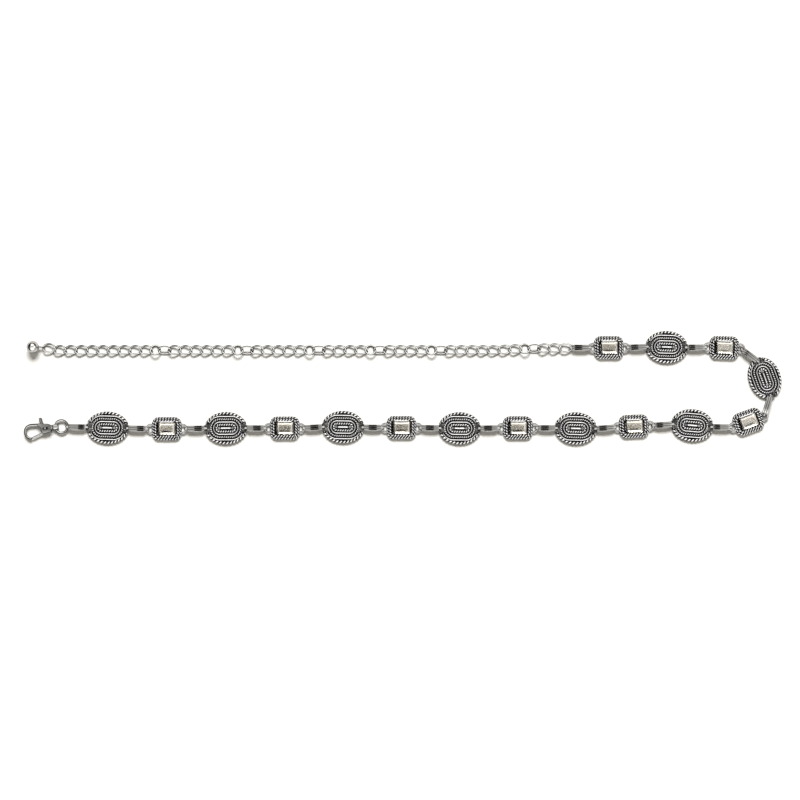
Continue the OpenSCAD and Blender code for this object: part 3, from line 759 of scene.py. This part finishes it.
def connector_shells():
    sh = Shells()
    h = BAND_L / 2
    strand = BAND_W / 3 - 0.2
    u = np.linspace(-h + 0.45, h - 0.45, 25)
    top = arch(u)
    for k in (-1, 0, 1):
        y = k * (BAND_W / 3)
        # down-curled ends
        a = np.radians(np.linspace(90, 20, 5))[1:]
        ux = np.r_[-(h - 0.45) - 0.42 * np.cos(a)[::-1], u, (h - 0.45) + 0.42 * np.cos(a)]
        zz = arch(h - 0.45) - 0.42 * (1 - np.sin(a))
        z = np.r_[zz[::-1], top, zz]
        path = np.column_stack([ux, np.full(len(ux), y), z - BAND_T / 2])
        sh.loft(path[:, None, :] + SECTION[None, :, :] * np.array([1, strand / 2, 1]), False, np.broadcast_to(SECTION_WEAR_AND_SHADE[k], (len(path), len(SECTION))))
    # web that joins the strands, low in their grooves
    core = np.column_stack([u, np.zeros(len(u)), arch(u) - BAND_T / 2 - 0.12])
    tube(sh, core, BAND_W / 2 - 0.1, seg=12, flat=0.16, power=0.4, wear_and_shade=0.0)
    zt = float(arch(np.array(h)))
    for m in (1, -1):
        pts = [[h - 1.6, zt - 0.42], [h - 0.2, zt - 0.36], [7.7, zt - 0.34], [8.13, zt - 0.62], [8.25, zt - 1.1], [8.25, 1.1], [8.1, 0.72], [7.7, 0.58], [6.9, 0.57], [5.75, 0.57]]
        p, _, _ = resample(np.array(pts), 30, False)
        path = np.column_stack([p[:, 0] * m, np.zeros(30), p[:, 1]])
        tube(sh, path, np.r_[np.full(29, 0.31), 0.22], seg=12, up=(0, m, 0), flat=np.r_[np.full(29, 0.68), 0.5], power=0.8, wear_and_shade=1.0)
    return sh


connector_local = connector_shells()


def joint_ends(k):
    if k == 1:
        q = oval_end(0, -1)
        return np.array([JUMP_AT[0] + JUMP_D / 2 - LUG_R - 0.4, JUMP_AT[1]]), q
    if k == 17:
        x = run_x(6) + 2 * PITCH + LINK_L / 2
        return set_end(7, 1), np.array([x - LUG_R + 0.15, chain_y(x)])
    if k % 2 == 0:
        return oval_end(k // 2 - 1, 1), set_end(k // 2 - 1, -1)
    return set_end((k - 1) // 2 - 1, 1), oval_end((k - 1) // 2, -1)


for k in range(1, 18):
    p, q = joint_ends(k)
    mid = (p + q) / 2
    turn = math.degrees(math.atan2(q[1] - p[1], q[0] - p[0]))
    # connectors pointing back are turned half round so the painted light edge stays on the -Y side
    at(connector_local, mid, turn - 180 if turn > 90 else turn).build("strand_connector_%d" % k, [CONNECTOR_MAT], ROOT, ["connector_%d" % k], "bright_silver")


# ---------------------------------------------------------------- chain
SADDLE, LEAN = 0.76, 5.0
TURNED_X = [run_x(r) + (RUNS[r] - 1) * PITCH + 2 * RING_STEP for r in range(6)]
LAST_X = run_x(6) + 2 * PITCH


def chain_lift(x):
    z = 1.42 + 0.43 * math.exp(-((x - CHAIN_X0) / 7) ** 2) + 0.43 * math.exp(-((x - LAST_X) / 7) ** 2)
    return z + sum(0.98 * math.exp(-((x - c) / 9) ** 2) for c in TURNED_X)


def link_rows(a, b, saddle, lean, roll, x, lift=0.0, n=56):
    t = np.radians(np.arange(n) * 360 / n)
    px, py, pz = a * np.cos(t), b * np.sin(t), saddle * np.sin(2 * t)
    c, s = math.cos(math.radians(lean)), math.sin(math.radians(lean))
    px, py = px * c - py * s, px * s + py * c
    c, s = math.cos(math.radians(roll)), math.sin(math.radians(roll))
    py, pz = py * c - pz * s, py * s + pz * c
    up = np.stack([np.zeros(n), -np.full(n, math.sin(math.radians(roll))), np.full(n, math.cos(math.radians(roll)))], 1)
    k = math.radians(chain_turn(x))
    c, s = math.cos(k), math.sin(k)
    px, py = px * c - py * s, px * s + py * c
    up = np.stack([up[:, 0] * c - up[:, 1] * s, up[:, 0] * s + up[:, 1] * c, up[:, 2]], 1)
    return np.stack([px + x + SHIFT[0], py + chain_y(x) + SHIFT[1], pz + chain_lift(x) + lift], 1), up


def chain_shells(r):
    sh = Shells()
    a, b = (LINK_L - WIRE) / 2, (LINK_W - WIRE) / 2
    x0, n = run_x(r), RUNS[r]
    # all links and rings here take tube's default painted dark side shade
    for i in range(n):
        x = x0 + i * PITCH
        last = r == 6 and i == n - 1
        wob = math.sin(7.3 * (r * 11 + i)) * 1.6
        p, up = link_rows(a, b, 0.35 if last else SADDLE, 0 if last else LEAN + wob, 0 if last else wob, x)
        tube(sh, p, WIRE / 2, True, 20, up)
    if r < 6:
        xr = x0 + (n - 1) * PITCH + RING_STEP
        c = (ROUND_D - WIRE) / 2
        p, up = link_rows(c, c, 0.0, 0, -20, xr)
        tube(sh, p, WIRE / 2, True, 20, up)
        p, up = link_rows(a, b, 0.0, 0, 36, xr + RING_STEP)
        tube(sh, p, WIRE / 2, True, 20, up)
    return sh


for r in range(7):
    chain_shells(r).build("curb_chain_%s" % "abcdefg"[r], [CHAIN_MAT], ROOT, ["chain_%s" % "abcdefg"[r]], "bright_silver")


def ball_shells():
    sh = Shells()
    px = CHAIN_X0 - LINK_L / 2 + WIRE / 2 + 0.05
    eye = np.array([px + SHIFT[0], chain_y(px) + SHIFT[1], CHAIN_Z])
    r = BALL_D / 2
    centre = eye + np.array([-6.85, 0, r - CHAIN_Z])
    to = (eye - centre) / np.linalg.norm(eye - centre)
    # turned body: ball, collar and stem as one profile round the line to the eye
    reach = float(np.linalg.norm(eye - centre))
    prof = [(-r * math.cos(a), r * math.sin(a)) for a in np.linspace(0.02, math.pi - 0.36, 44)]
    prof += [(4.15, 1.32), (4.35, 1.3), (4.45, 1.15), (4.55, 0.86), (4.9, 0.74), (reach - 1.55, 0.66), (reach - 1.25, 0.35)]
    side = np.cross(to, [0, 0, 1.0])
    side /= np.linalg.norm(side)
    up = np.cross(side, to)
    a = 2 * np.pi * np.arange(48) / 48
    rows = np.stack([centre + to * d + rad * (np.cos(a)[:, None] * side + np.sin(a)[:, None] * up) for d, rad in prof])
    sh.loft(rows, False, 1.0)
    t = 2 * np.pi * np.arange(40) / 40
    ring = eye + 1.3 * (np.cos(t)[:, None] * to + np.sin(t)[:, None] * up)
    # the eye ring takes tube's default painted dark side shade
    tube(sh, ring, 0.36, True, 12, up=side)
    return sh


ball_shells().build("end_ball_and_eye", [BRIGHT], ROOT, ["end_ball"], "bright_silver")


# ---------------------------------------------------------------- clasp
def torus(sh, centre, rad, wire, seg=28, n=96):
    t = 2 * np.pi * np.arange(n) / n
    # the ring's sides are painted dark, the band turned 14 degrees so one side is darker: painted shade
    tube(sh, np.column_stack([centre[0] + rad * np.cos(t), centre[1] + rad * np.sin(t), np.full(n, centre[2])]), wire, True, seg, wear_and_shade=wire_side_shade(seg, 0.84, 0.97, 0.03, 14))


ring = Shells()
torus(ring, (JUMP_AT[0] + SHIFT[0], JUMP_AT[1] + SHIFT[1], JUMP_Z), (JUMP_D - JUMP_WIRE) / 2, JUMP_WIRE / 2)
ring.build("jump_ring_wire", [POLISHED], ROOT, ["jump_ring"], "bright_silver")


def at_hook(sh):
    return at(sh, RIVET_AT, HOOK_TURN)


def eye_shells():
    """Broad eye round the jump ring, its post and the post's head inside the hook's neck."""
    sh = Shells()
    hl, hh, wall, w, ax = 2.7, JUMP_WIRE + 0.6, 0.8, 3.6, BODY_T / 2
    n = 72
    outer, _, _ = resample(rounded_path(hl + 2 * wall, hh + 2 * wall, 1.2), n, True)
    inner, _, _ = resample(rounded_path(hl, hh, 0.6), n, True)

    def aligned(p):
        return np.roll(p, -int(np.argmin(np.abs(np.arctan2(p[:, 1], p[:, 0])))), 0)

    outer, inner = aligned(outer), aligned(inner)
    no, ni = right_normals(outer, True), right_normals(inner, True)
    secs = []
    for p, nn, d, y in ((outer, no, 0.45, -w / 2), (outer, no, 0.12, -w / 2 + 0.3), (outer, no, 0.0, -w / 2 + 0.8), (outer, no, 0.0, 0), (outer, no, 0.0, w / 2 - 0.8), (outer, no, 0.12, w / 2 - 0.3), (outer, no, 0.45, w / 2),
                        (inner, ni, -0.2, w / 2), (inner, ni, 0.0, w / 2 - 0.25), (inner, ni, 0.0, -w / 2 + 0.25), (inner, ni, -0.2, -w / 2)):
        q = p - nn * d
        secs.append(np.column_stack([q[:, 0] + EYE_X, np.full(n, y), q[:, 1] + ax]))
    # the eye is painted dark on its rims and inside its hole, light only across the middle: painted shade for dark
    # outlines and the hollow
    sh.loft(np.stack(secs, 1), True, np.broadcast_to(np.array([0.0, 0.3, 1.0, 1.0, 1.0, 0.3, 0.0, 0.0, 0.1, 0.1, 0.0]), (n, len(secs))))
    a = 2 * np.pi * np.arange(32) / 32
    prof = [(2.75, 1.1), (2.8, 1.28), (3.4, 1.28), (3.45, 1.1), (3.45, 0.92), (EYE_X - hl / 2 - 0.45, 0.92)]
    rows = np.stack([np.column_stack([np.full(32, x), r * np.cos(a), r * np.sin(a) + ax]) for x, r in prof])
    sh.loft(rows, False, 0.6)
    return sh


at_hook(eye_shells()).build("swivel_eye_post", [POLISHED], ROOT, ["swivel_eye"], "bright_silver")

BODY = round_off([[-5.2, 4.1], [-2.2, 3.7], [4.3, 2.5], [4.3, -2.6], [3.9, -3.0], [-2.0, -4.0], [-2.8, -3.2], [-2.8, 0.6], [-5.2, 2.5]], 2)


def clip_x(poly, lo, hi):
    p = np.asarray(poly, float)
    for axis_v, sign in ((lo, 1), (hi, -1)):
        out = []
        for i in range(len(p)):
            a, b = p[i], p[(i + 1) % len(p)]
            ina, inb = sign * (a[0] - axis_v) >= 0, sign * (b[0] - axis_v) >= 0
            if ina:
                out.append(a)
            if ina != inb:
                k = (axis_v - a[0]) / (b[0] - a[0])
                out.append(a + k * (b - a))
        p = np.array(out)
    return p


def circle(r, n=40, c=(0, 0)):
    t = 2 * np.pi * np.arange(n) / n
    return np.stack([c[0] + r * np.cos(t), c[1] + r * np.sin(t)], 1)


def hook_shells():
    sh = Shells()
    slot_z, bt = 1.1, 2.2
    hole = circle(0.75)
    # the flat top is painted mid-grey (0.42) and the walls near-black (edge 0.0): painted shade for the dim room the
    # polished body reflects and its dark outline
    pillow(sh, BODY, BODY_T - slot_z, BODY_T, 0, 0.55, hole, steps=5, wear_and_shade=0.42, edge=0.0)
    pillow(sh, BODY, 0, slot_z, 0.55, 0, hole, steps=5, wear_and_shade=0.35)
    pillow(sh, inset(ccw(clip_x(BODY, 2.42, 9)), 0.015), slot_z - 0.02, BODY_T - slot_z + 0.02, 0, 0)
    pillow(sh, inset(ccw(clip_x(BODY, -9, -4.12)), 0.015), slot_z - 0.02, BODY_T - slot_z + 0.02, 0, 0)
    # collar at the neck
    a = 2 * np.pi * np.arange(40) / 40
    prof = [(4.1, 1.72), (4.6, 1.72), (4.78, 1.6), (4.8, 1.45), (4.8, 1.0), (4.2, 1.0)]
    rows = np.stack([np.column_stack([np.full(40, x), r * np.cos(a), r * np.sin(a) + BODY_T / 2]) for x, r in prof], 1)
    # the collar is painted dark at both ends with a lighter band between: painted shade for the dark lines at its
    # joints
    sh.loft(rows, True, np.broadcast_to(np.array([0.0, 0.8, 0.3, 0.0, 0.0, 0.0]), (40, 6)))
    # bow: one bent wire from the body round to the nose
    c, rad = np.array([-10.1, -1.15]), 4.85
    arc = np.array([c + rad * np.array([math.cos(math.radians(g)), math.sin(math.radians(g))]) for g in np.linspace(85, 261, 46)])
    lead = np.array([[-3.9, 3.18], [-4.6, 3.22], [-6.2, 3.38], [-8.0, 3.55]])
    tip = np.array([[-10.6, -5.98], [-10.35, -6.0]])
    p = np.vstack([lead, arc, tip])
    p, s, total = resample(p, 110, False)
    taper = smooth(total - s, -0.15, 0.7) * 0.45 + 0.55
    # the wire's sides are painted dark, the band turned 34 degrees so one side is darker: painted shade
    tube(sh, np.column_stack([p, np.full(110, BODY_T / 2)]), 0.8 * taper, seg=28, flat=1.1 * taper, power=0.8, wear_and_shade=wire_side_shade(28, 0.86, 0.98, 0.03, 34))
    return sh


at_hook(hook_shells()).build("hook_body_and_bow", [POLISHED], "hook", ["hook"], "bright_silver")


def gate_shells():
    sh = Shells()
    t, ax = 1.4, BODY_T / 2
    reach = 11.7
    hub = circle(2.0, 48)

    def at_reach(p, q):
        """Point of the line from p to q at the gate's reach from the rivet."""
        p, d = np.array(p), np.array(q) - np.array(p)
        k, b, c = d @ d, 2 * p @ d, p @ p - (reach - 0.02) ** 2
        return p + d * (-b + math.sqrt(b * b - 4 * k * c)) / (2 * k)

    low, high = at_reach([1.6, -2.75], [-10.9, -6.62]), at_reach([-2.6, -2.6], [-10.9, -5.2])
    bar, _, _ = resample(fillet([[1.6, -1.1], [1.6, -2.75], low, high, [-2.6, -2.6], [-1.9, -0.5]], 0.6), 150, True)
    arm = fillet([[-0.5, 1.2], [-1.3, 4.7], [-3.3, 4.7], [-3.2, 3.9], [-1.9, 0.4]], 0.5)
    pad = fillet([[-1.25, 4.6], [-1.85, 7.88], [-3.72, 7.88], [-3.4, 4.6]], 0.6)
    pillow(sh, hub, ax - t / 2, ax + t / 2, 0.15, 0.15, circle(0.75))
    # the gate's walls are painted near-black (edge 0.0) and the arm and thumb pad painted greyer than the bar: painted
    # shade for dark outlines and dim reflections
    pillow(sh, inset(bar, 0.02), ax - t / 2 + 0.01, ax + t / 2 - 0.01, 0.5, 0.5, wear_and_shade=0.8, edge=0.0, back=0.45)
    pillow(sh, arm, ax - t / 2 + 0.01, ax + t / 2 - 0.01, 0.3, 0.4, wear_and_shade=0.5, edge=0.0, back=0.45)
    pillow(sh, pad, ax - 1.2, ax + 1.2, 0.5, 0.5, wear_and_shade=0.36, edge=0.0, back=0.45)
    return sh


at_hook(gate_shells()).build("gate_and_thumb_lever", [POLISHED], "gate", ["gate"], "bright_silver")


def rivet_shells():
    sh = Shells()
    a = 2 * np.pi * np.arange(32) / 32
    z0, z1, r = 0.06, BODY_T - 0.06, 0.69
    prof = [(z0, 0.25), (z0 + 0.05, 0.45), (z0 + 0.2, 0.64), (z0 + 0.35, r), (z1 - 0.35, r), (z1 - 0.2, 0.64), (z1 - 0.05, 0.45), (z1, 0.25)]
    rows = np.stack([np.column_stack([rad * np.cos(a), rad * np.sin(a), np.full(32, z)]) for z, rad in prof])
    sh.loft(rows, False, 0.7)
    return sh


at_hook(rivet_shells()).build("gate_rivet", [STEEL], "hook", ["rivet"], "dark_steel")


# ---------------------------------------------------------------- stage, light, camera
def stage_material(name, colour, rough, glow=0.0):
    m = bpy.data.materials.new(name)
    m.use_nodes = True
    b = next(n for n in m.node_tree.nodes if n.type == "BSDF_PRINCIPLED")
    b.inputs["Base Color"].default_value = (*colour, 1)
    b.inputs["Roughness"].default_value = rough
    b.inputs["Specular IOR Level"].default_value = 0.0
    if glow:
        b.inputs["Emission Color"].default_value = (*colour, 1)
        b.inputs["Emission Strength"].default_value = glow
    return m


def sheet(name, verts, mat):
    me = bpy.data.meshes.new(name)
    me.from_pydata(verts, [], [list(range(len(verts)))])
    me.materials.append(mat)
    ob = bpy.data.objects.new(name, me)
    bpy.context.scene.collection.objects.link(ob)
    return ob


floor_z = -0.0001
sheet("floor", [(2.2 * math.cos(a), 2.2 * math.sin(a), floor_z) for a in np.linspace(0, 2 * math.pi, 96, endpoint=False)], stage_material("paper_white", (0.93, 0.928, 0.915), 0.9))

CAM = Vector((-0.0018 + SHIFT[0] * MM, -0.0089 + SHIFT[1] * MM, 1.25))


def area(name, loc, target, size, power, colour=(1, 1, 1), size_y=None):
    li = bpy.data.lights.new(name, "AREA")
    li.energy = power
    li.color = colour
    li.size = size
    if size_y:
        li.shape = "RECTANGLE"
        li.size_y = size_y
    ob = bpy.data.objects.new(name, li)
    ob.location = loc
    ob.rotation_euler = (Vector(target) - Vector(loc)).to_track_quat("-Z", "Y").to_euler()
    bpy.context.scene.collection.objects.link(ob)
    return ob


window = area("window_north", (0.0, 3.0, 2.85), (0, 0, 0), 2.6, 265.0, (1.0, 0.99, 0.97), 1.35)
window.visible_glossy = False  # polished metal sees the softer window of the room below instead

world = bpy.data.worlds.new("studio")
bpy.context.scene.world = world
world.use_nodes = True
wt = world.node_tree
bg = next(n for n in wt.nodes if n.type == "BACKGROUND")
geo = wt.nodes.new("ShaderNodeTexCoord")
sep = wt.nodes.new("ShaderNodeSeparateXYZ")
wt.links.new(geo.outputs["Generated"], sep.inputs[0])
# the room as polished metal shows it: dark low down, towards -X and in a spot straight overhead,
# a bright window and a softer one across from it
level_in = calc(wt, "SUBTRACT", sep.outputs["Z"], calc(wt, "MULTIPLY", sep.outputs["Y"], 0.4))
level_in = calc(wt, "ADD", level_in, calc(wt, "MULTIPLY", calc(wt, "MINIMUM", calc(wt, "ADD", sep.outputs["X"], 0.2), 0.0), 1.05))
room = ramp(wt, level_in, (0.0, 0.02), (0.12, 0.05), (0.24, 0.45), (0.5, 0.85), (0.8, 1.15))


def glow(y, z, lo, hi, gain, axis="Y"):
    d = calc(wt, "ADD", calc(wt, "MULTIPLY", sep.outputs[axis], y), calc(wt, "MULTIPLY", sep.outputs["Z"], z))
    return calc(wt, "MULTIPLY", ramp(wt, d, (lo, 0.0), (hi, 1.0)), gain)


glossy = calc(wt, "ADD", room, calc(wt, "ADD", glow(0.68, 0.73, 0.88, 0.96, 2.8), glow(-0.6, 0.8, 0.84, 0.95, 1.8)))
glossy = calc(wt, "ADD", glossy, glow(0.7, 0.714, 0.95, 0.99, 1.8, "X"))
glossy = calc(wt, "MULTIPLY", glossy, ramp(wt, sep.outputs["Z"], (0.93, 1.0), (0.97, 0.85)))
spot = calc(wt, "MULTIPLY", calc(wt, "SUBTRACT", sep.outputs["Z"], 0.9882), 600.0, True)
glossy = calc(wt, "MULTIPLY", glossy, calc(wt, "SUBTRACT", 1.0, calc(wt, "MULTIPLY", spot, 0.985)))
lp = wt.nodes.new("ShaderNodeLightPath")
other = calc(wt, "MAXIMUM", lp.outputs["Is Diffuse Ray"], lp.outputs["Is Camera Ray"])
wt.links.new(calc(wt, "ADD", calc(wt, "MULTIPLY", glossy, calc(wt, "SUBTRACT", 1.0, other)), calc(wt, "MULTIPLY", other, 0.8)), bg.inputs["Strength"])
soft = mix(wt, lp.outputs["Is Diffuse Ray"], (1.0, 0.99, 0.975), (0.30, 0.283, 0.25))
wt.links.new(mix(wt, lp.outputs["Is Camera Ray"], soft, (1.3, 1.3, 1.3)), bg.inputs["Color"])

cam_data = bpy.data.cameras.new("camera")
cam_data.sensor_width = 36
cam_data.lens = 36 * CAM.z / 0.576
cam_data.clip_end = 20
cam = bpy.data.objects.new("camera", cam_data)
cam.location = CAM
cam.rotation_euler = (0, 0, 0)
bpy.context.scene.collection.objects.link(cam)
bpy.context.scene.camera = cam
bpy.context.scene.view_settings.view_transform = "Standard"
